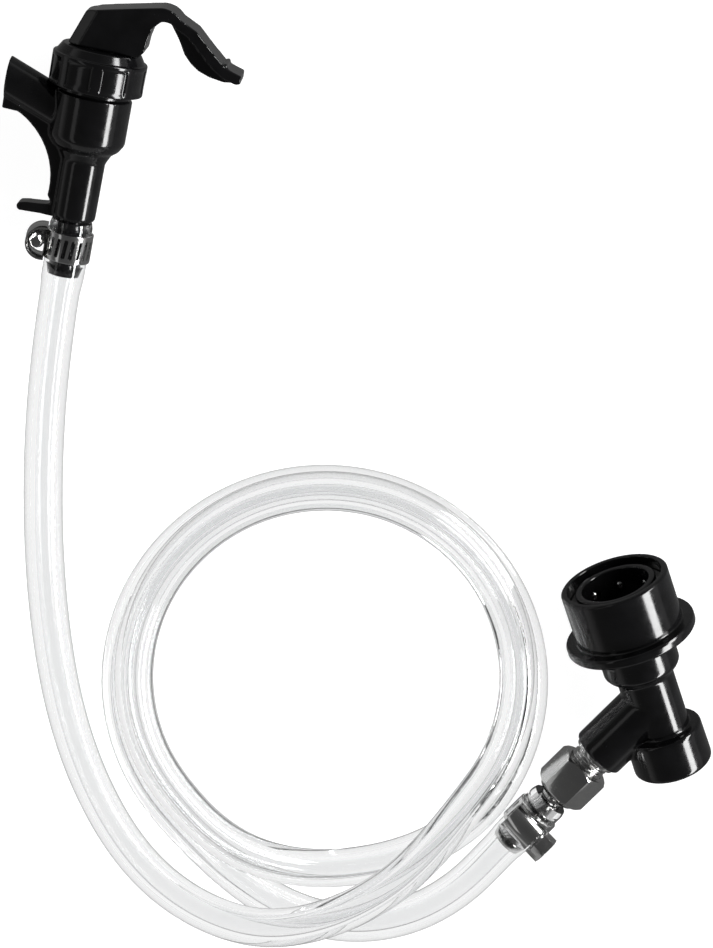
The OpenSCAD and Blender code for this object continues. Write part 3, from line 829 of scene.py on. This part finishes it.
def locking_sleeve():
    profile = fillet([(13.7, 0, 0.35), (15.0, 0, 0.25), (15.5, -0.5, 0.3), (15.5, -15.5, 0.5),
                      (18.5, -15.5, 0.7), (18.7, -16.2, 0.4), (18.7, -17.8, 0.5), (18.2, -18.5, 0.5),
                      (13.7, -18.5, 0.3), (13.7, -8.5), (13, -8.5), (13, -5.1), (13.7, -4.9)], 5)
    skin = lathe("locking_sleeve_skin", profile, DISC, 192)
    finished(skin, "sleeve", PLASTIC, ["locking_sleeve"], 35)


def end_plug():
    """Screw plug in the head's end, with a coin slot."""
    profile = fillet([(0, -55), (9.32, -55), (9.32, -60.9, 0.4), (0, -60.9)], 5)
    piece = lathe("end_plug_skin", profile, DISC, 160)
    slot = fillet([(-7, -0.8, 0.78), (7, -0.8, 0.78), (7, 0.8, 0.78), (-7, 0.8, 0.78)], 6)
    cut(piece, [prism_z("coin_slot", slot, -62.5, -59.5, DISC)])
    finished(piece, "line", PLASTIC, ["end_plug"], 35)


def locking_balls():
    half = [(BALL_R * cos(radians(a)), BALL_R * sin(radians(a))) for a in range(-90, 91, 9)]
    profile = [(0, -BALL_R)] + half[1:-1] + [(0, BALL_R)]
    balls = []
    for i in range(BALLS):
        at = DISC.moved(turn=ball_turn(i))
        balls.append(lathe("ball", profile, at.moved((BALL_RING_R, 0, BALL_Z)), 40))
    finished(joined("locking_balls_skin", balls), "line", TURNED, ["locking_balls"], 60)


disconnect_body()
locking_sleeve()
end_plug()
locking_balls()

# ---- CAD nodes that stay: their finish ----
slots = {s["node"]: s["material_slot"] for s in frame["record"]["subparts"]}
for node, piece in frame["nodes"].items():
    piece.data.materials.clear()
    piece.data.materials.append(SLOT_LOOK[slots[node]])


# ---- Studio ----
def soft_box(name, at, size, power, target=(0, 0, 0.01)):
    lamp = bpy.data.lights.new(name, "AREA")
    lamp.shape = "RECTANGLE"
    lamp.size, lamp.size_y = size
    lamp.energy = power
    piece = bpy.data.objects.new(name, lamp)
    bpy.context.scene.collection.objects.link(piece)
    piece.location = at
    piece.rotation_euler = (Vector(target) - Vector(at)).to_track_quat("-Z", "Y").to_euler()
    return piece


FLOOR_HALF = 3000
floor_corners = [(x * FLOOR_HALF, y * FLOOR_HALF, 0) for x, y in ((-1, -1), (1, -1), (1, 1), (-1, 1))]
floor = mesh_object("floor", floor_corners, [[0, 1, 2, 3]])
floor.location.z = -0.0001
pale, pale_tree, pale_shader = new_material("pale_floor", Roughness=0.9)
pale_shader.inputs["Base Color"].default_value = (0.25, 0.25, 0.25, 1)
pale_shader.inputs["Specular IOR Level"].default_value = 0.0
pale_shader.inputs["Emission Color"].default_value = (1, 1, 1, 1)
pale_shader.inputs["Emission Strength"].default_value = 0.96
pale_ray = pale_tree.nodes.new("ShaderNodeLightPath")
pale_out = next(n for n in pale_tree.nodes if n.type == "OUTPUT_MATERIAL")


def pale_for(factor, level, base):
    """The floor's shader, at its own even level for the rays that factor picks."""
    glow = pale_tree.nodes.new("ShaderNodeEmission")
    glow.inputs["Strength"].default_value = level
    choose = pale_tree.nodes.new("ShaderNodeMixShader")
    pale_tree.links.new(factor, choose.inputs["Fac"])
    pale_tree.links.new(base, choose.inputs[1])
    pale_tree.links.new(glow.outputs["Emission"], choose.inputs[2])
    return choose.outputs["Shader"]


# Mirror reflections see the floor as dark, so black plastic stays black; rays through the hose see pale grey
mirror = pale_tree.nodes.new("ShaderNodeMath")
mirror.operation = "MULTIPLY"
pale_tree.links.new(pale_ray.outputs["Is Glossy Ray"], mirror.inputs[0])
pale_tree.links.new(pale_ray.outputs["Is Reflection Ray"], mirror.inputs[1])
through_hose = pale_for(pale_ray.outputs["Is Transmission Ray"], 0.96, pale_shader.outputs["BSDF"])
pale_tree.links.new(pale_for(mirror.outputs["Value"], 0.16, through_hose), pale_out.inputs["Surface"])
floor.data.materials.append(pale)

soft_box("right_strip", (1.3, 0.05, 0.72), (2.6, 0.4), 62)
soft_box("left_fill", (-0.9, 0.1, 0.95), (2, 0.26), 0.8)

world = bpy.data.worlds.new("studio")
bpy.context.scene.world = world
world.use_nodes = True
tree = world.node_tree
background = tree.nodes["Background"]
coords = tree.nodes.new("ShaderNodeTexCoord")
parts = tree.nodes.new("ShaderNodeSeparateXYZ")
ramp = tree.nodes.new("ShaderNodeValToRGB")
for place, level in ((0.14, 0.4), (0.36, 0.12)):
    ramp.color_ramp.elements.new(place).color = (level, level, level, 1)
for end, level in ((0, 0.45), (-1, 0.07)):
    ramp.color_ramp.elements[end].color = (level, level, level, 1)
tree.links.new(coords.outputs["Generated"], parts.inputs["Vector"])
tree.links.new(parts.outputs["Z"], ramp.inputs["Fac"])
tree.links.new(ramp.outputs["Color"], background.inputs["Color"])
background.inputs["Strength"].default_value = 1.0
bpy.context.scene.view_settings.view_transform = "Standard"
